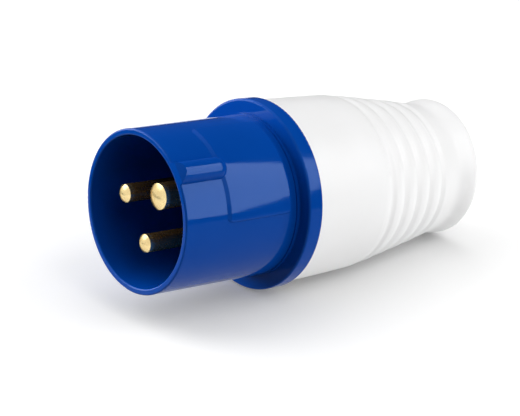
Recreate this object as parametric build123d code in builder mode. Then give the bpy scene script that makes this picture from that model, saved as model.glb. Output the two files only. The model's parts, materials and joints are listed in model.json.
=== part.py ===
from build123d import *

import os
from math import cos, radians, sin

# Industrial pin and sleeve plug, in millimetres.
# It stands on its tail: the axis is Z, the three pins point up, and the key faces -Y.

# Clearances
slide_gap = 0.3                 # between surfaces that turn past each other
seat_gap = 0.1                  # between pieces that seat in each other
seam_gap = 0.15                 # between the flange and the front edge of the rear housing

# Rear housing
housing_wall = 2.25
shoulder_inset = 0.85           # front edge to where the ribs begin
housing_crown = 0.1             # bulge of the smooth stretch
housing_edge_rounding = 0.4
smooth_length = 24.4
rib_length = 28.25              # ribbed stretch
tail_length = 12.95             # from the ribs to the tail face
rib_count = 5
rib_inset = 4.75                # first rib to last
rib_crown = 0.18
groove_depth = 0.42
groove_width = 2.7
neck_inset = 0.85               # last rib to the waist of the tail
neck_setback = 5.35
lip_flare = 0.75                # waist to the lip
lip_rounding = 2.3

# Tail: the wall that holds the grommet, and the mouth below it
web_setback = 1.45              # ribs to the wall
web_thickness = 3.2
web_bore_radius = 9.5
pocket_depth = 2.6
mouth_radius = 14.8

# Collar of the front shroud
collar_step = 0.5               # bore beyond the insert
collar_wall = 1.7
collar_length = 37.5            # rim to flange
rim_rounding = 0.45
floor_rise = 1.5                # flange to the face that the pins stand on
floor_thickness = 4.0
root_step = 0.4                 # low ring where the collar meets the flange
root_height = 1.0

# Flange and spigot of the front shroud
flange_overhang = 0.9           # flange beyond the rear housing
flange_thickness = 4.75
flange_rounding = 0.6
spigot_wall = 1.6
spigot_length = 12.0

# Key and the raised pad behind it
key_width = 6.2
key_height = 2.6
key_overlap = 2.8               # onto the pad
key_corner = 3.0
key_rounding = 2.9
key_chamfer = 1.5
pad_angle = 77.0
pad_height = 0.45
pad_start = 12.9                # rim to the pad's front edge
pad_setback = 3.1               # pad to the flange
pad_corner = 0.9
pad_front_corner = 2.4
pad_rounding = 0.45
pad_slope = 1.45                # length of the slope at the pad's front
pad_foot_depth = 0.15           # foot of that slope under the collar's surface

# Bayonet between spigot and rear housing
bayonet_count = 3
bayonet_angle = 40.0            # width of one lug or hook
bayonet_reach = 1.3
lug_setback = 1.0               # spigot end to lug
lug_height = 2.6
hook_height = 2.7
stop_angle = 4.0
stop_play = 1.0                 # degrees between hook and stop

# Seal ring
seal_height = 1.9
seal_width = 2.3

# Contact pins
key_angle = -90.0               # the earth pin stands behind the key
pin_spacing_angle = 120.0
pin_circle_radius = 8.55
phase_pin_radius = 2.5
earth_pin_radius = 3.5
pin_recess = 1.3                # rim to the pin tips
pin_dome = 1.1
pin_land_step = 0.25            # thicker stretch inside the carrier
pin_collar_step = 1.2
pin_collar_height = 2.0
phase_head_radius = 3.7
earth_head_radius = 4.3
head_length = 17.0              # terminal head behind the carrier
wire_radius = 1.9
wire_stop = 4.0                 # solid end of the terminal head

# Insert that carries the pins
carrier_margin = 2.15           # around the earth pin
carrier_thickness = 5.0
retainer_thickness = 4.0
barrier_thickness = 1.4
barrier_overhang = 1.0          # beyond the terminal heads
barrier_setback = 0.9           # barriers to the cradle's legs
hub_radius = 2.4

# Screws
screw_slot_width = 0.9
screw_head_step = 1.1           # head beyond the shank
screw_head_height = 2.2
terminal_screw_radius = 2.0
terminal_screw_setback = 6.0    # from the end of the terminal head
terminal_screw_lift = 1.4       # terminal head to screw head
stack_screw_radius = 1.5
stack_screw_margin = 0.9        # from the bore of the floor ring
stack_screw_bite = 3.0          # how far the screws go into the floor ring
clamp_screw_radius = 1.75
clamp_screw_setback = 3.6       # from the ends of the grip
clamp_screw_end = 0.6           # beyond the nut

# Cord grip
cable_radius = 5.0
cradle_foot_thickness = 2.5
cradle_foot_radius = 2.8
cradle_leg_thickness = 2.4
cradle_leg_width = 6.0
cradle_leg_setback = 0.5        # legs to the screw heads
cradle_depth = 8.3
clamp_bar_depth = 6.2
clamp_width = 26.0
clamp_length = 10.0             # along the cable
clamp_setback = 3.8             # grommet to the grip
clamp_parting = 2.4             # gap between the two halves
clamp_corner = 2.0
nut_width = 5.5
nut_height = 2.6

# Cable grommet
grommet_bead_radius = 11.6
grommet_bead_height = 2.4
grommet_snout_radius = 7.4
grommet_snout_length = 3.2
grommet_play = 0.8              # around the lower bead

# Heights above the tail face, worked out from the sizes above
rib_pitch = rib_length / rib_count
rib_bottom = tail_length
rib_top = rib_bottom + rib_length
housing_length = rib_top + smooth_length
flange_back = housing_length + seam_gap
flange_front = flange_back + flange_thickness
rim = flange_front + collar_length
floor = flange_front + floor_rise
floor_back = floor - floor_thickness
carrier_back = floor_back - carrier_thickness
retainer_back = carrier_back - retainer_thickness
foot_back = retainer_back - cradle_foot_thickness
pin_tip = rim - pin_recess
head_end = carrier_back - head_length
terminal_screw_height = head_end + terminal_screw_setback
barrier_end = head_end - barrier_overhang
pad_back = flange_front + pad_setback
pad_front = rim - pad_start
key_end = pad_front - key_overlap
spigot_end = flange_back - spigot_length
lug_bottom = spigot_end + lug_setback
lug_top = lug_bottom + lug_height
hook_bottom = lug_top + slide_gap
hook_top = hook_bottom + hook_height
seal_bottom = flange_back - seal_height
neck_height = rib_bottom - neck_setback
web_top = rib_bottom - web_setback
web_height = web_top - web_thickness
pocket_bottom = web_height - pocket_depth
lower_bead = web_height - seat_gap - grommet_bead_height
upper_bead = web_top + seat_gap + grommet_bead_height
clamp_height = upper_bead + grommet_snout_length + clamp_setback
clamp_middle = clamp_height + clamp_length / 2

# Radii worked out from the sizes above, from the pins outwards
carrier_face_radius = pin_circle_radius + earth_pin_radius + carrier_margin
floor_bore = carrier_face_radius + seat_gap
stack_screw_circle = floor_bore + stack_screw_margin + stack_screw_radius
insert_radius = stack_screw_circle + cradle_foot_radius + slide_gap
spigot_bore = insert_radius + seat_gap
spigot_radius = spigot_bore + spigot_wall
hook_radius = spigot_radius + slide_gap
lug_radius = spigot_radius + bayonet_reach
housing_bore = lug_radius + slide_gap
housing_front_radius = housing_bore + housing_wall
housing_shoulder_radius = housing_front_radius - shoulder_inset
rib_end_radius = housing_shoulder_radius - rib_inset
neck_radius = rib_end_radius - neck_inset
lip_radius = neck_radius + lip_flare
flange_radius = housing_front_radius + flange_overhang
collar_bore = insert_radius + collar_step
collar_radius = collar_bore + collar_wall
collar_middle = collar_bore + collar_wall / 2
seal_inner = spigot_radius + seat_gap
seal_outer = seal_inner + seal_width
rebate_radius = seal_outer + slide_gap
chamber_top_radius = housing_shoulder_radius - groove_depth - housing_wall
chamber_end_radius = rib_end_radius - groove_depth - housing_wall
grip_radius = cable_radius + seat_gap
grommet_neck_radius = web_bore_radius - seat_gap
pocket_radius = grommet_bead_radius + grommet_play

# The three pins, and the two screws that stand between the earth pin and the others
pin_angles = {
    "earth": key_angle,
    "line": key_angle + pin_spacing_angle,
    "neutral": key_angle - pin_spacing_angle,
}
stack_screw_angles = {
    "right": key_angle + pin_spacing_angle / 2,
    "left": key_angle - pin_spacing_angle / 2,
}
pin_radii = {"earth": earth_pin_radius, "line": phase_pin_radius, "neutral": phase_pin_radius}
head_radii = {"earth": earth_head_radius, "line": phase_head_radius, "neutral": phase_head_radius}


def on_circle(radius, angle):
    """Point on a circle around the plug's axis."""
    return radius * cos(radians(angle)), radius * sin(radians(angle))


# Places across the axis, worked out from the sizes above
stack_screw_offset = on_circle(stack_screw_circle, stack_screw_angles["right"])[0]
leg_outside = stack_screw_offset - stack_screw_radius - screw_head_step - cradle_leg_setback
leg_inside = leg_outside - cradle_leg_thickness
barrier_reach = leg_inside - barrier_setback
clamp_screw_offset = clamp_width / 2 - clamp_screw_setback


def pin_centre(name):
    """Middle of a contact pin, seen along the plug's axis."""
    return on_circle(pin_circle_radius, pin_angles[name])


def ring_sector(inner_radius, outer_radius, middle_angle, sweep):
    """Flat sector of a ring around the plug's axis."""
    with BuildSketch() as sector:
        with BuildLine():
            outside = CenterArc((0, 0), outer_radius, middle_angle - sweep / 2, sweep)
            inside = CenterArc((0, 0), inner_radius, middle_angle - sweep / 2, sweep)
            Line(inside @ 0, outside @ 0)
            Line(inside @ 1, outside @ 1)
        make_face()
    return sector.sketch


def ring_sectors(inner_radius, outer_radius, offset, sweep):
    """The bayonet's repeated sectors, turned by an offset from the key."""
    angles = [key_angle + offset + i * 360 / bayonet_count for i in range(bayonet_count)]
    return [ring_sector(inner_radius, outer_radius, angle, sweep) for angle in angles]


def slotted_screw(plane, shank_radius, shank_length):
    """Cheese-head screw. The plane lies under its head and faces out of it."""
    head_radius = shank_radius + screw_head_step
    with BuildPart(plane) as screw:
        Cylinder(head_radius, screw_head_height, align=(Align.CENTER, Align.CENTER, Align.MIN))
        head_top = screw.faces().sort_by(Axis(plane.origin, plane.z_dir))[-1]
        chamfer(head_top.edges(), screw_head_height / 8)
        Cylinder(shank_radius, shank_length, align=(Align.CENTER, Align.CENTER, Align.MAX))
        with Locations((0, 0, screw_head_height)):
            Box(screw_slot_width, 3 * head_radius, screw_head_height, mode=Mode.SUBTRACT)
    return screw.part


def contact_pin(name):
    """Turned pin with a domed tip, a collar, and a terminal head with its wire and screw holes."""
    radius = pin_radii[name]
    head_radius = head_radii[name]
    collar_top = carrier_back + pin_collar_height
    outward = Vector(*on_circle(1, pin_angles[name]))
    upright = Plane(pin_centre(name), x_dir=outward, z_dir=outward.cross(Vector(0, 0, 1)))
    screw_plane = Plane(upright.from_local_coords((0, terminal_screw_height)), z_dir=outward)
    with BuildPart() as pin:
        with BuildSketch(upright):
            with BuildLine():
                TangentArc((0, pin_tip), (radius, pin_tip - pin_dome), tangent=(1, 0))
                Polyline(
                    (radius, pin_tip - pin_dome),
                    (radius, floor),
                    (radius + pin_land_step, floor),
                    (radius + pin_land_step, collar_top),
                    (head_radius + pin_collar_step, collar_top),
                    (head_radius + pin_collar_step, carrier_back),
                    (head_radius, carrier_back),
                    (head_radius, head_end),
                    (0, head_end),
                    (0, pin_tip),
                )
            make_face()
        revolve(axis=Axis(pin_centre(name), (0, 0, 1)))
        with BuildSketch(Plane.XY.offset(head_end)):
            with Locations(pin_centre(name)):
                Circle(wire_radius)
        extrude(amount=head_length - wire_stop, mode=Mode.SUBTRACT)
        with BuildSketch(screw_plane):
            Circle(terminal_screw_radius + seat_gap)
        extrude(amount=head_radius + pin_collar_step, mode=Mode.SUBTRACT)
    return pin.part


def terminal_screw(name):
    """Screw that presses the conductor in a terminal head, facing away from the plug's axis."""
    outward = Vector(*on_circle(1, pin_angles[name]))
    lift = head_radii[name] + terminal_screw_lift
    seat = Vector(*on_circle(pin_circle_radius + lift, pin_angles[name]), terminal_screw_height)
    return slotted_screw(Plane(seat, z_dir=outward), terminal_screw_radius, lift - wire_radius / 2)


# Front shroud: collar, flange, floor ring and spigot as one turned profile

with BuildPart() as pad:
    with BuildSketch(Plane.XY.offset(pad_back)):
        add(ring_sector(collar_middle, collar_radius + pad_height, key_angle, pad_angle))
    extrude(amount=pad_front - pad_back)
    pad_edges = pad.edges().filter_by(GeomType.LINE).filter_by(Axis.Z, reverse=True)
    fillet(pad_edges.group_by(Axis.Z)[0], pad_corner)
    pad_edges = pad.edges().filter_by(GeomType.LINE).filter_by(Axis.Z, reverse=True)
    fillet(pad_edges.group_by(Axis.Z)[-1], pad_front_corner)
    pad_face = pad.faces().filter_by(GeomType.CYLINDER).sort_by(lambda face: face.area)[-1]
    fillet(pad_face.edges(), pad_rounding)
    slope_foot = collar_radius - pad_foot_depth
    slope_side = slope_foot + 2 * (pad_height + pad_foot_depth)
    with BuildSketch(Plane.XZ):
        with BuildLine():
            Polyline(
                (slope_foot, pad_front),
                (slope_side, pad_front),
                (slope_side, pad_front - 2 * pad_slope),
                close=True,
            )
        make_face()
    revolve(axis=Axis.Z, mode=Mode.SUBTRACT)

with BuildPart() as key:
    with BuildSketch(Plane.XZ.offset(collar_middle)) as key_plan:
        with Locations((0, rim)):
            Rectangle(key_width, rim - key_end, align=(Align.CENTER, Align.MAX))
        fillet(key_plan.vertices().sort_by(Axis.Y)[:2], key_corner)
    extrude(amount=key_height + collar_wall / 2)
    key_top = key.faces().sort_by(Axis.Y)[0]
    fillet(key_top.edges().sort_by(Axis.Z)[:-1], key_rounding)
    chamfer_foot = collar_radius + key_height - key_chamfer
    with BuildSketch(Plane.XZ):
        with BuildLine():
            Polyline(
                (chamfer_foot, rim),
                (chamfer_foot + 2 * key_chamfer, rim),
                (chamfer_foot + 2 * key_chamfer, rim - 2 * key_chamfer),
                close=True,
            )
        make_face()
    revolve(axis=Axis.Z, mode=Mode.SUBTRACT)

with BuildPart() as front_shroud:
    with BuildSketch(Plane.XZ):
        with BuildLine():
            Polyline(
                (collar_bore, rim),
                (collar_radius, rim),
                (collar_radius, flange_front + root_height),
                (collar_radius + root_step, flange_front + root_height),
                (collar_radius + root_step, flange_front),
                (flange_radius, flange_front),
                (flange_radius, flange_back),
                (spigot_radius, flange_back),
                (spigot_radius, spigot_end),
                (spigot_bore, spigot_end),
                (spigot_bore, floor_back),
                (floor_bore, floor_back),
                (floor_bore, floor),
                (collar_bore, floor),
                close=True,
            )
        make_face()
    revolve(axis=Axis.Z)
    fillet(front_shroud.edges().group_by(Axis.Z)[-1], rim_rounding)
    flange_edges = front_shroud.edges().filter_by(GeomType.CIRCLE).group_by(lambda edge: edge.radius)[-1]
    fillet(flange_edges, flange_rounding)
    add(pad.part)
    add(key.part)
    with BuildSketch(Plane.XY.offset(lug_bottom)):
        add(ring_sectors(spigot_radius - spigot_wall / 2, lug_radius, 0, bayonet_angle))
    extrude(amount=lug_height)
    with BuildSketch(Plane.XY.offset(lug_bottom)):
        stop_offset = bayonet_angle / 2 + stop_play + stop_angle / 2
        add(ring_sectors(spigot_radius - spigot_wall / 2, lug_radius, stop_offset, stop_angle))
    extrude(amount=hook_top - lug_bottom)
    with BuildSketch(Plane.XY.offset(floor_back)):
        for angle in stack_screw_angles.values():
            with Locations(on_circle(stack_screw_circle, angle)):
                Circle(stack_screw_radius + seat_gap)
    extrude(amount=stack_screw_bite + seat_gap, mode=Mode.SUBTRACT)

# Insert with the three pins

with BuildPart() as pin_carrier:
    with BuildSketch(Plane.XY.offset(carrier_back)):
        Circle(insert_radius)
    extrude(amount=carrier_thickness)
    with BuildSketch(Plane.XY.offset(floor_back)):
        Circle(carrier_face_radius)
    extrude(amount=floor_thickness)
    with BuildSketch(Plane.XY.offset(carrier_back)):
        for name, radius in pin_radii.items():
            with Locations(pin_centre(name)):
                Circle(radius + pin_land_step + seat_gap)
        for angle in stack_screw_angles.values():
            with Locations(on_circle(stack_screw_circle, angle)):
                Circle(stack_screw_radius + seat_gap)
    extrude(amount=carrier_thickness + floor_thickness, mode=Mode.SUBTRACT)
    with BuildSketch(Plane.XY.offset(carrier_back)):
        for name, radius in head_radii.items():
            with Locations(pin_centre(name)):
                Circle(radius + pin_collar_step + seat_gap)
    extrude(amount=pin_collar_height, mode=Mode.SUBTRACT)

with BuildPart() as pin_retainer:
    with BuildSketch(Plane.XY.offset(carrier_back)):
        Circle(insert_radius)
        for name, radius in head_radii.items():
            with Locations(pin_centre(name)):
                Circle(radius + seat_gap, mode=Mode.SUBTRACT)
        for angle in stack_screw_angles.values():
            with Locations(on_circle(stack_screw_circle, angle)):
                Circle(stack_screw_radius + seat_gap, mode=Mode.SUBTRACT)
    extrude(amount=-retainer_thickness)
    with BuildSketch(Plane.XY.offset(retainer_back)):
        Circle(hub_radius)
        with PolarLocations(0, len(pin_angles), start_angle=key_angle + 180):
            Rectangle(barrier_reach, barrier_thickness, align=(Align.MIN, Align.CENTER))
    extrude(amount=barrier_end - retainer_back)

# Cord grip: a cradle on two legs, and a bar that clamps the cable into it

with BuildPart() as cord_cradle:
    leg_middle = -(clamp_parting / 2 + cradle_depth - cradle_leg_width / 2)
    with BuildSketch(Plane.XY.offset(retainer_back)):
        for side, angle in ((1, stack_screw_angles["right"]), (-1, stack_screw_angles["left"])):
            screw_x, screw_y = on_circle(stack_screw_circle, angle)
            with Locations((screw_x, screw_y)):
                Circle(cradle_foot_radius)
            with Locations(((screw_x + side * leg_inside) / 2, screw_y)):
                Rectangle(abs(screw_x) - leg_inside, 2 * cradle_foot_radius)
        for angle in stack_screw_angles.values():
            with Locations(on_circle(stack_screw_circle, angle)):
                Circle(stack_screw_radius + seat_gap, mode=Mode.SUBTRACT)
    extrude(amount=-cradle_foot_thickness)
    with BuildSketch(Plane.XY.offset(retainer_back)):
        for side in (1, -1):
            with Locations((side * (leg_inside + leg_outside) / 2, leg_middle)):
                Rectangle(cradle_leg_thickness, cradle_leg_width)
    extrude(amount=clamp_height - retainer_back)
    with BuildSketch(Plane.XY.offset(clamp_height)):
        with Locations((0, -clamp_parting / 2)):
            Rectangle(clamp_width, cradle_depth, align=(Align.CENTER, Align.MAX))
    extrude(amount=clamp_length)
    with BuildSketch(Plane.XY.offset(clamp_height)):
        Circle(grip_radius)
    extrude(amount=clamp_length, mode=Mode.SUBTRACT)
    cradle_floor = Plane.XZ.offset(clamp_parting / 2 + cradle_depth)
    with BuildSketch(cradle_floor):
        for side in (1, -1):
            with Locations((side * clamp_screw_offset, clamp_middle)):
                Rectangle(nut_width + 2 * seat_gap, nut_width + 2 * seat_gap)
    extrude(amount=-nut_height, mode=Mode.SUBTRACT)
    with BuildSketch(cradle_floor):
        for side in (1, -1):
            with Locations((side * clamp_screw_offset, clamp_middle)):
                Circle(clamp_screw_radius + seat_gap)
    extrude(amount=-cradle_depth, mode=Mode.SUBTRACT)

with BuildPart() as cord_clamp_bar:
    with BuildSketch(Plane.XY.offset(clamp_height)):
        with Locations((0, clamp_parting / 2)):
            Rectangle(clamp_width, clamp_bar_depth, align=(Align.CENTER, Align.MIN))
        Circle(grip_radius, mode=Mode.SUBTRACT)
    extrude(amount=clamp_length)
    with BuildSketch(Plane.XZ.offset(-clamp_parting / 2)):
        for side in (1, -1):
            with Locations((side * clamp_screw_offset, clamp_middle)):
                Circle(clamp_screw_radius + seat_gap)
    extrude(amount=-clamp_bar_depth, mode=Mode.SUBTRACT)
    bar_back = cord_clamp_bar.faces().sort_by(Axis.Y)[-1]
    bar_ends = bar_back.edges().filter_by(Axis.Z)
    fillet(bar_ends, clamp_corner)


def clamp_nut(side):
    """Square nut in the cradle's pocket."""
    pocket_floor = Plane.XZ.offset(clamp_parting / 2 + cradle_depth)
    with BuildPart() as nut:
        with BuildSketch(pocket_floor):
            with Locations((side * clamp_screw_offset, clamp_middle)):
                Rectangle(nut_width, nut_width)
                Circle(clamp_screw_radius + seat_gap, mode=Mode.SUBTRACT)
        extrude(amount=-nut_height)
    return nut.part


def clamp_screw(side):
    """Screw through the clamp bar and the cradle into its nut."""
    seat = (side * clamp_screw_offset, clamp_parting / 2 + clamp_bar_depth, clamp_middle)
    length = clamp_bar_depth + clamp_parting + cradle_depth + clamp_screw_end
    return slotted_screw(Plane(seat, z_dir=(0, 1, 0)), clamp_screw_radius, length)


def retainer_screw(side):
    """Screw up through cradle foot, retainer and carrier into the floor ring."""
    seat = Vector(*on_circle(stack_screw_circle, stack_screw_angles[side]), foot_back)
    length = floor_back + stack_screw_bite - foot_back
    return slotted_screw(Plane(seat, z_dir=(0, 0, -1)), stack_screw_radius, length)


# Seal ring behind the flange

with BuildPart() as housing_seal:
    with BuildSketch(Plane.XY.offset(seal_bottom)):
        Circle(seal_outer)
        Circle(seal_inner, mode=Mode.SUBTRACT)
    extrude(amount=seal_height)
    fillet(housing_seal.edges().group_by(Axis.Z)[0], seal_height / 6)

# Rear housing


def on_rib_cone(height):
    """Radius of the ribbed stretch, without its ribs."""
    share = (rib_top - height) / (rib_top - rib_bottom)
    return housing_shoulder_radius + share * (rib_end_radius - housing_shoulder_radius)


def rib_outline():
    """Points of the ribbed stretch from below: groove edges, groove floors and crowns between."""
    points = [(rib_end_radius, rib_bottom)]
    for i in range(rib_count):
        middle = rib_bottom + (i + 0.5) * rib_pitch
        if i > 0:
            crown = middle - rib_pitch / 2
            points.append((on_rib_cone(crown) + rib_crown, crown))
        points.append((on_rib_cone(middle - groove_width / 2), middle - groove_width / 2))
        points.append((on_rib_cone(middle) - groove_depth, middle))
        points.append((on_rib_cone(middle + groove_width / 2), middle + groove_width / 2))
    points.append((housing_shoulder_radius, rib_top))
    return points


with BuildPart() as rear_housing:
    cone_direction = (housing_shoulder_radius - rib_end_radius, rib_top - rib_bottom)
    crown_radius = (housing_shoulder_radius + housing_front_radius) / 2 + housing_crown
    with BuildSketch(Plane.XZ):
        with BuildLine():
            face = Line((0, 0), (lip_radius - lip_rounding, 0))
            lip = TangentArc(face @ 1, (lip_radius, lip_rounding), tangent=(1, 0))
            Spline(
                lip @ 1,
                (neck_radius, neck_height),
                (rib_end_radius, rib_bottom),
                tangents=((0, 1), cone_direction),
            )
            Spline(*rib_outline(), tangents=(cone_direction, cone_direction))
            smooth = ThreePointArc(
                (housing_shoulder_radius, rib_top),
                (crown_radius, rib_top + smooth_length / 2),
                (housing_front_radius, housing_length),
            )
            Polyline(smooth @ 1, (0, housing_length), (0, 0))
        make_face()
    revolve(axis=Axis.Z)
    fillet(rear_housing.edges().group_by(Axis.Z)[-1], housing_edge_rounding)
    with BuildSketch(Plane.XZ):
        with BuildLine():
            chamber = Polyline(
                (0, housing_length),
                (rebate_radius, housing_length),
                (rebate_radius, seal_bottom - slide_gap),
                (housing_bore, seal_bottom - slide_gap),
                (housing_bore, spigot_end - slide_gap),
                (chamber_top_radius, rib_top),
                (chamber_end_radius, rib_bottom),
                (chamber_end_radius, web_top),
                (web_bore_radius, web_top),
                (web_bore_radius, web_height),
                (pocket_radius, web_height),
                (pocket_radius, pocket_bottom),
            )
            TangentArc(chamber @ 1, (mouth_radius, 0), tangent=(0, -1))
            Polyline((mouth_radius, 0), (0, 0), (0, housing_length))
        make_face()
    revolve(axis=Axis.Z, mode=Mode.SUBTRACT)
    with BuildSketch(Plane.XY.offset(hook_bottom)):
        add(ring_sectors(hook_radius, housing_bore + housing_wall / 2, 0, bayonet_angle))
    extrude(amount=hook_height)

# Cable grommet, snapped into the wall above the mouth

with BuildPart() as cable_grommet:
    with BuildSketch(Plane.XZ):
        with BuildLine():
            Polyline(
                (grip_radius, lower_bead - grommet_snout_length),
                (grommet_snout_radius, lower_bead - grommet_snout_length),
                (grommet_bead_radius, lower_bead),
                (grommet_bead_radius, web_height - seat_gap),
                (grommet_neck_radius, web_height - seat_gap),
                (grommet_neck_radius, web_top + seat_gap),
                (grommet_bead_radius, web_top + seat_gap),
                (grommet_bead_radius, upper_bead),
                (grommet_snout_radius, upper_bead + grommet_snout_length),
                (grip_radius, upper_bead + grommet_snout_length),
                close=True,
            )
        make_face()
    revolve(axis=Axis.Z)

# One file for each piece

pieces = {
    "front_shroud": front_shroud.part,
    "pin_carrier": pin_carrier.part,
    "pin_retainer": pin_retainer.part,
    "cord_cradle": cord_cradle.part,
    "cord_clamp_bar": cord_clamp_bar.part,
    "housing_seal": housing_seal.part,
    "rear_housing": rear_housing.part,
    "cable_grommet": cable_grommet.part,
}
for name in pin_angles:
    pieces[name + "_pin"] = contact_pin(name)
    pieces[name + "_terminal_screw"] = terminal_screw(name)
for name in stack_screw_angles:
    pieces[name + "_retainer_screw"] = retainer_screw(name)
for name, side in (("right", 1), ("left", -1)):
    pieces[name + "_clamp_screw"] = clamp_screw(side)
    pieces[name + "_clamp_nut"] = clamp_nut(side)

os.makedirs("parts", exist_ok=True)
for name, piece in pieces.items():
    piece.label = name
    export_step(piece, f"parts/{name}.step")
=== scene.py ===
import json
import math

import bpy
from mathutils import Matrix, Quaternion, Vector


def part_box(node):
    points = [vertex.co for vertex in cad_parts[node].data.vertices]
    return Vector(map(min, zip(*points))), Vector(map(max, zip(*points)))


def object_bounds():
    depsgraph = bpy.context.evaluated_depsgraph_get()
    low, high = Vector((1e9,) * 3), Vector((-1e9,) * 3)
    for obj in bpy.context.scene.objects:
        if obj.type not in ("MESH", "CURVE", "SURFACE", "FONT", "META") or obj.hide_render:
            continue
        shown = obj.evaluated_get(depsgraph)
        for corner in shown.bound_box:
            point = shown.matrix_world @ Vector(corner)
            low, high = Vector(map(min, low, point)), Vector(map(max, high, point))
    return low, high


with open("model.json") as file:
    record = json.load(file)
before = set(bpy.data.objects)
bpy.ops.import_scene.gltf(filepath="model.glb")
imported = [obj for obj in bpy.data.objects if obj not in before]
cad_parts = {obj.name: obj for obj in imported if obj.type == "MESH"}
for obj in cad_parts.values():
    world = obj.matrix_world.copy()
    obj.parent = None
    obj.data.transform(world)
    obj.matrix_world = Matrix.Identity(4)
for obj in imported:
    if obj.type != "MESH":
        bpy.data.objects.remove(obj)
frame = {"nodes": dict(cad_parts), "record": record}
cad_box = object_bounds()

nodes = frame["nodes"]
scene = bpy.context.scene

# Camera of the photograph, in the part's frame
camera_place = Vector((-0.15503, -0.400279, 0.408348))
camera_turn = Quaternion((0.450265, 0.335635, 0.275669, -0.780139))
camera_lens = 138.9
camera_sensor = 36.0
camera_nearest = 0.01

# The plug lies on the side at this angle, and touches the floor with its flange and its tail
plug_axis = Vector((0, 0, 1))
plug_middle = cad_box[1][2] / 2 * plug_axis
rest_angle = math.radians(137.0)
rest_tilt = math.radians(5.87)
rest_point = Vector((-0.019196, 0.017900, 0.066289))
rest_side = Vector((math.cos(rest_angle), math.sin(rest_angle), 0))
floor_up = math.sin(rest_tilt) * plug_axis - math.cos(rest_tilt) * rest_side
camera_right = camera_turn @ Vector((1, 0, 0))
floor_right = (camera_right - camera_right.dot(floor_up) * floor_up).normalized()
floor_front = floor_right.cross(floor_up)


def toward(azimuth, elevation):
    """Direction from the plug, in degrees: azimuth from the front to the right, elevation above the floor."""
    a, e = math.radians(azimuth), math.radians(elevation)
    flat = math.cos(a) * floor_front + math.sin(a) * floor_right
    return math.cos(e) * flat + math.sin(e) * floor_up


# Node helpers


def feed(tree, socket, value):
    """Set a socket to a value, or link another node's output to it."""
    if isinstance(value, bpy.types.NodeSocket):
        tree.links.new(value, socket)
    else:
        socket.default_value = value


def add_node(tree, kind, settings=None, **inputs):
    """New shader node with its settings and its inputs, which are values or the outputs of other nodes."""
    node = tree.nodes.new(kind)
    for name, value in (settings or {}).items():
        setattr(node, name, value)
    for name, value in inputs.items():
        feed(tree, node.inputs[name.replace("_", " ")], value)
    return node


def combine(tree, operation, one, other):
    """Two values combined by a sum, a product or another operation."""
    node = add_node(tree, "ShaderNodeMath", {"operation": operation})
    feed(tree, node.inputs[0], one)
    feed(tree, node.inputs[1], other)
    return node.outputs["Value"]


def seen_share(tree, rays):
    """1 on rays that come from the camera, a mirror or glass, and 0 on other rays."""
    seen = combine(tree, "MAXIMUM", rays["Is Camera Ray"], rays["Is Glossy Ray"])
    return combine(tree, "MAXIMUM", seen, rays["Is Transmission Ray"])


def new_material(name):
    """New material with its node tree."""
    material = bpy.data.materials.new(name)
    material.use_nodes = True
    return material, material.node_tree


def new_shader(name, **constants):
    """New material with a Principled shader whose unchanging values are set on its own sockets."""
    material, tree = new_material(name)
    shader = tree.nodes["Principled BSDF"]
    for socket, value in constants.items():
        shader.inputs[socket.replace("_", " ")].default_value = value
    place = add_node(tree, "ShaderNodeTexCoord").outputs["Object"]
    return material, tree, shader, place


def noise(tree, place, scale, detail):
    """Noise of so many features per metre."""
    return add_node(tree, "ShaderNodeTexNoise", Vector=place, Scale=scale, Detail=detail).outputs["Fac"]


def blend_colours(tree, share, low, high, start=0.3, end=0.7):
    """Colour between two, by a share that varies over the surface."""
    ramp = add_node(tree, "ShaderNodeValToRGB", Fac=share)
    for element, colour, position in zip(ramp.color_ramp.elements, (low, high), (start, end)):
        element.color = (*colour, 1)
        element.position = position
    return ramp.outputs["Color"]


def spread(tree, share, low, high, start=0.3, end=0.7, interpolation="LINEAR"):
    """Value between two, by a share that varies over the surface or the sky."""
    node = add_node(
        tree,
        "ShaderNodeMapRange",
        {"interpolation_type": interpolation},
        Value=share,
        From_Min=start,
        From_Max=end,
        To_Min=low,
        To_Max=high,
    )
    return node.outputs["Result"]


def relief(tree, height, depth, normal=None):
    """Fine relief of the surface, with its depth in metres."""
    node = add_node(tree, "ShaderNodeBump", Height=height, Distance=depth, Strength=1.0)
    if normal:
        feed(tree, node.inputs["Normal"], normal)
    return node.outputs["Normal"]


def use(tree, shader, **inputs):
    """Link varying values to the shader."""
    for name, output in inputs.items():
        feed(tree, shader.inputs[name.replace("_", " ")], output)


# Materials

# Ripple of a moulded surface, in depths of its grain
ripple_depth = 6


def moulded_plastic(name, low, high, roughness, grain_depth, **constants):
    """Moulded plastic: slightly uneven colour and gloss, with a fine grain."""
    material, tree, shader, place = new_shader(name, **constants)
    clouds = noise(tree, place, scale=45.0, detail=3.0)
    gloss = noise(tree, place, scale=90.0, detail=4.0)
    ripple = noise(tree, place, scale=160.0, detail=1.0)
    grain = noise(tree, place, scale=2600.0, detail=2.0)
    surface = relief(tree, ripple, grain_depth * ripple_depth)
    surface = relief(tree, grain, grain_depth, surface)
    use(
        tree,
        shader,
        Base_Color=blend_colours(tree, clouds, low, high),
        Roughness=spread(tree, gloss, *roughness),
        Normal=surface,
    )
    return material


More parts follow.
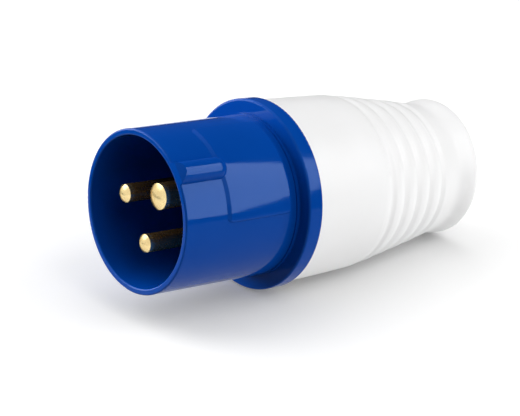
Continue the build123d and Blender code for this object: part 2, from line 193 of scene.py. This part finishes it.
def turned_metal(name, low, high, roughness, mark_depth, painted_shade=None, **constants):
    """Turned metal with fine rings and an uneven colour, and painted shade below a height if that is given: a
    darker brown, less metallic colour that stands in for shade.
    """
    material, tree, shader, place = new_shader(name, **constants)
    rings = add_node(
        tree,
        "ShaderNodeTexWave",
        {"wave_type": "BANDS", "bands_direction": "Z"},
        Vector=place,
        Scale=420.0,
        Distortion=1.5,
        Detail=3.0,
    )
    clouds = noise(tree, place, scale=220.0, detail=4.0)
    gloss = noise(tree, place, scale=600.0, detail=3.0)
    colour = blend_colours(tree, clouds, low, high)
    # Painted shade: below the given height the colour turns a darker brown and the metal less metallic,
    # standing in for shade
    if painted_shade:
        change = {"start": painted_shade["start"], "end": painted_shade["end"]}
        height = add_node(tree, "ShaderNodeSeparateXYZ", Vector=place).outputs["Z"]
        unshaded_share = spread(tree, height, 0.0, 1.0, **change)
        shaded_colour = blend_colours(tree, clouds, painted_shade["low"], painted_shade["high"])
        mixed = add_node(tree, "ShaderNodeMixRGB", Fac=unshaded_share, Color1=shaded_colour, Color2=colour)
        colour = mixed.outputs["Color"]
        metallic = spread(tree, height, painted_shade["metallic"], constants["Metallic"], **change)
        use(tree, shader, Metallic=metallic)
    use(
        tree,
        shader,
        Base_Color=colour,
        Roughness=spread(tree, gloss, *roughness),
        Normal=relief(tree, rings.outputs["Fac"], mark_depth),
    )
    return material


blue = moulded_plastic(
    "blue_plastic",
    low=(0.0006, 0.0485, 0.30),
    high=(0.0008, 0.0545, 0.33),
    roughness=(0.05, 0.08),
    grain_depth=0.000001,
    Specular_IOR_Level=0.10,
    Specular_Tint=(0.33, 0.60, 1.0, 1.0),
)
white = moulded_plastic(
    "white_plastic",
    low=(0.87, 0.87, 0.87),
    high=(0.90, 0.90, 0.905),
    roughness=(0.32, 0.42),
    grain_depth=0.000004,
)
black = moulded_plastic(
    "black_plastic",
    low=(0.022, 0.022, 0.024),
    high=(0.035, 0.035, 0.037),
    roughness=(0.40, 0.52),
    grain_depth=0.000006,
)
rubber = moulded_plastic(
    "rubber",
    low=(0.020, 0.020, 0.020),
    high=(0.032, 0.031, 0.030),
    roughness=(0.62, 0.78),
    grain_depth=0.000010,
)
steel = turned_metal(
    "steel",
    low=(0.52, 0.52, 0.51),
    high=(0.66, 0.66, 0.64),
    roughness=(0.22, 0.34),
    mark_depth=0.000003,
    Metallic=1.0,
)

# The brass is bright on the pins' domed tips. Along their shafts it carries painted shade, a darker brown,
# less metallic colour that stands in for the shade deep in the shroud.
pin_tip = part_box("earth_pin")[1][2]
tip_depth = 0.0015
shaft_depth = 0.0027
shaft_painted_shade = {
    "low": (0.27, 0.16, 0.06),
    "high": (0.33, 0.20, 0.08),
    "metallic": 0.75,
    "start": pin_tip - shaft_depth,
    "end": pin_tip - tip_depth,
}
brass = turned_metal(
    "brass",
    low=(0.86, 0.65, 0.31),
    high=(0.96, 0.78, 0.41),
    roughness=(0.22, 0.30),
    mark_depth=0.000002,
    painted_shade=shaft_painted_shade,
    Metallic=0.93,
    Specular_Tint=(0.75, 0.50, 0.25, 1.0),
)

finishes = {
    "blue_plastic": blue,
    "white_plastic": white,
    "black_plastic": black,
    "rubber": rubber,
    "brass": brass,
    "steel": steel,
}
for part in frame["record"]["subparts"]:
    mesh = nodes[part["node"]].data
    mesh.materials.clear()
    mesh.materials.append(finishes[part["material_slot"]])

# Floor and flags

floor_colour = (0.95, 0.95, 0.95, 1)
floor_lift = 0.16
floor_left_end, floor_right_end = -0.17, 0.185
floor_back_end, floor_front_end = -0.45, 0.30
flag_brightness = 0.05
tail_flag_level = -0.6
tail_flag_reach = 1.4
left_flag_drop = 0.004
left_flag_end = -0.32
left_flag_reach = 0.14


def floor_finish():
    """White floor, a little lifted where it is seen. Light from below and the plug's diffuse rays pass it."""
    material, tree = new_material("floor")
    tree.nodes.clear()
    rays = add_node(tree, "ShaderNodeLightPath").outputs
    lift = combine(tree, "MULTIPLY", seen_share(tree, rays), floor_lift)
    paint = add_node(tree, "ShaderNodeBsdfDiffuse", Color=floor_colour)
    glow = add_node(tree, "ShaderNodeEmission", Strength=lift)
    upper = add_node(tree, "ShaderNodeAddShader")
    feed(tree, upper.inputs[0], paint.outputs["BSDF"])
    feed(tree, upper.inputs[1], glow.outputs["Emission"])
    behind = add_node(tree, "ShaderNodeNewGeometry").outputs["Backfacing"]
    passed = combine(tree, "MAXIMUM", behind, rays["Is Diffuse Ray"])
    clear = add_node(tree, "ShaderNodeBsdfTransparent")
    surface = add_node(tree, "ShaderNodeMixShader", Fac=passed)
    feed(tree, surface.inputs[1], upper.outputs["Shader"])
    feed(tree, surface.inputs[2], clear.outputs["BSDF"])
    add_node(tree, "ShaderNodeOutputMaterial", Surface=surface.outputs["Shader"])
    return material


def flag_finish():
    """Nearly black surface that no light changes."""
    material, tree = new_material("flag")
    tree.nodes.clear()
    glow = add_node(tree, "ShaderNodeEmission", Strength=flag_brightness)
    add_node(tree, "ShaderNodeOutputMaterial", Surface=glow.outputs["Emission"])
    return material


def floor_corners(left, right, back, front, drop=0.0):
    """Corners of a rectangle along the floor, in metres from the point where the flange rests."""
    return [
        rest_point + x * floor_right + y * floor_front - drop * floor_up
        for x, y in ((left, front), (right, front), (right, back), (left, back))
    ]


def card(name, corners, material):
    """Flat piece of the stage."""
    mesh = bpy.data.meshes.new(name)
    mesh.from_pydata(corners, [], [(0, 1, 2, 3)])
    mesh.materials.append(material)
    piece = bpy.data.objects.new(name, mesh)
    scene.collection.objects.link(piece)
    return piece


card(
    "floor",
    floor_corners(floor_left_end, floor_right_end, floor_back_end, floor_front_end),
    floor_finish(),
)

# Dark flags keep the white world out of some reflections: behind the tail, where the collar and the housing
# mirror, and left of the floor, where the front of the flange mirrors
flag_material = flag_finish()
tail_flag_corners = [
    Vector((x * tail_flag_reach, y * tail_flag_reach, tail_flag_level))
    for x, y in ((-1, -1), (1, -1), (1, 1), (-1, 1))
]
left_flag_corners = floor_corners(
    left_flag_end, floor_left_end, -left_flag_reach, left_flag_reach, left_flag_drop
)
for name, corners in (("tail_flag", tail_flag_corners), ("left_flag", left_flag_corners)):
    flag = card(name, corners, flag_material)
    flag.visible_camera = False
    flag.visible_diffuse = False
    flag.visible_transmission = False
    flag.visible_shadow = False

# World: pale walls and ceiling, dim behind the camera and on the tail's side, with light from below

world = bpy.data.worlds.new("studio")
scene.world = world
world.use_nodes = True
sky = world.node_tree
sky_direction = add_node(sky, "ShaderNodeTexCoord").outputs["Generated"]
sky_rays = add_node(sky, "ShaderNodeLightPath").outputs


def fade(axis, start, end, low, high):
    """Smooth change of brightness between two shares of the direction along an axis."""
    share = add_node(sky, "ShaderNodeVectorMath", {"operation": "DOT_PRODUCT"})
    feed(sky, share.inputs[0], sky_direction)
    feed(sky, share.inputs[1], axis)
    return spread(sky, share.outputs["Value"], low, high, start, end, "SMOOTHSTEP")


# Half of the sphere above the floor
tail_side = fade(plug_axis, start=-0.52, end=-0.36, low=0.05, high=1.0)
camera_side = fade(floor_front, start=-0.1, end=0.4, low=1.0, high=0.12)
above = fade(floor_up, start=-0.06, end=0.0, low=0.0, high=1.0)
walls = combine(sky, "MULTIPLY", combine(sky, "MULTIPLY", tail_side, camera_side), above)

# Half below, which lights the plug's underside directly and adds little to later bounces
below_direct, below_later = 1.2, 0.08
first_bounce_limit = 1.5
first_bounce = combine(sky, "LESS_THAN", sky_rays["Diffuse Depth"], first_bounce_limit)
direct = combine(sky, "MULTIPLY", sky_rays["Is Diffuse Ray"], first_bounce)
from_below = spread(sky, direct, below_later, below_direct, start=0.0, end=1.0)
behind_flange = fade(plug_axis, start=-0.2, end=0.4, low=1.0, high=0.15)
below = fade(floor_up, start=-0.06, end=0.0, low=1.0, high=0.0)
ground = combine(sky, "MULTIPLY", combine(sky, "MULTIPLY", below, behind_flange), from_below)

# What is seen of the world is white
light = combine(sky, "ADD", walls, ground)
shown = combine(sky, "MAXIMUM", seen_share(sky, sky_rays), light)
feed(sky, sky.nodes["Background"].inputs["Color"], shown)

# Lamps

# Watts for each square metre of an area lamp's face that is as bright as white paint in plain light
lamp_power = 4.0


def softbox(name, away, along_side, distance, width, height, brightness, lift=Vector()):
    """Rectangular lamp that faces the plug, with its width along one direction."""
    lamp = bpy.data.lights.new(name, "AREA")
    lamp.shape = "RECTANGLE"
    lamp.size = width
    lamp.size_y = height
    lamp.energy = lamp_power * brightness * width * height
    side = (along_side - along_side.dot(away) * away).normalized()
    holder = bpy.data.objects.new(name, lamp)
    holder.matrix_world = Matrix((side, away.cross(side), away)).transposed().to_4x4()
    holder.location = plug_middle + distance * away + lift
    scene.collection.objects.link(holder)
    return holder


# The strip lies along the directions that the collar mirrors to the camera
strip_middle = math.radians(-99)
strip_lean = -0.6
strip_reach = math.sqrt(1 - strip_lean**2)
strip_level = 0.036 * plug_axis
strip_out = Vector((math.cos(strip_middle), math.sin(strip_middle), 0))
strip_away = strip_reach * strip_out + strip_lean * plug_axis
strip_side = plug_axis.cross(strip_out)
softbox(
    "key_lamp",
    strip_away,
    strip_side,
    distance=0.60,
    width=0.62,
    height=0.10,
    brightness=6.0,
    lift=strip_level,
)

side_box = {"along_side": floor_front, "distance": 0.90, "width": 0.75, "height": 0.60}
softbox("left_lamp", toward(azimuth=-100, elevation=40), brightness=1.5, **side_box)
softbox("right_lamp", toward(azimuth=36, elevation=42), brightness=1.6, **side_box)

# Two lamps for the shroud alone: one on the left brightens its rim and its flange,
# and one just behind the strip brightens the strip's reflection
rim_lamp = softbox(
    "rim_lamp",
    toward(azimuth=-105, elevation=16),
    floor_front,
    distance=0.60,
    width=0.50,
    height=0.40,
    brightness=5.4,
)
gloss_lamp = softbox(
    "gloss_lamp",
    strip_away,
    strip_side,
    distance=0.61,
    width=0.63,
    height=0.102,
    brightness=3.0,
    lift=strip_level,
)
gloss_lamp.visible_diffuse = False
shroud_only = bpy.data.collections.new("shroud_only")
shroud_only.objects.link(nodes["front_shroud"])
for lamp in (rim_lamp, gloss_lamp):
    lamp.visible_camera = False
    lamp.light_linking.receiver_collection = shroud_only

sun_strength = 0.2
sun_spread = math.radians(50)
sun = bpy.data.lights.new("top_lamp", "SUN")
sun.energy = sun_strength
sun.angle = sun_spread
sun_holder = bpy.data.objects.new("top_lamp", sun)
sun_holder.rotation_mode = "QUATERNION"
sun_holder.rotation_quaternion = toward(azimuth=120, elevation=80).to_track_quat("Z", "Y")
scene.collection.objects.link(sun_holder)

# Camera

camera_data = bpy.data.cameras.new("camera")
camera_data.lens = camera_lens
camera_data.sensor_width = camera_sensor
camera_data.clip_start = camera_nearest
camera = bpy.data.objects.new("camera", camera_data)
camera.location = camera_place
camera.rotation_mode = "QUATERNION"
camera.rotation_quaternion = camera_turn
scene.collection.objects.link(camera)
scene.camera = camera
scene.view_settings.view_transform = "Standard"
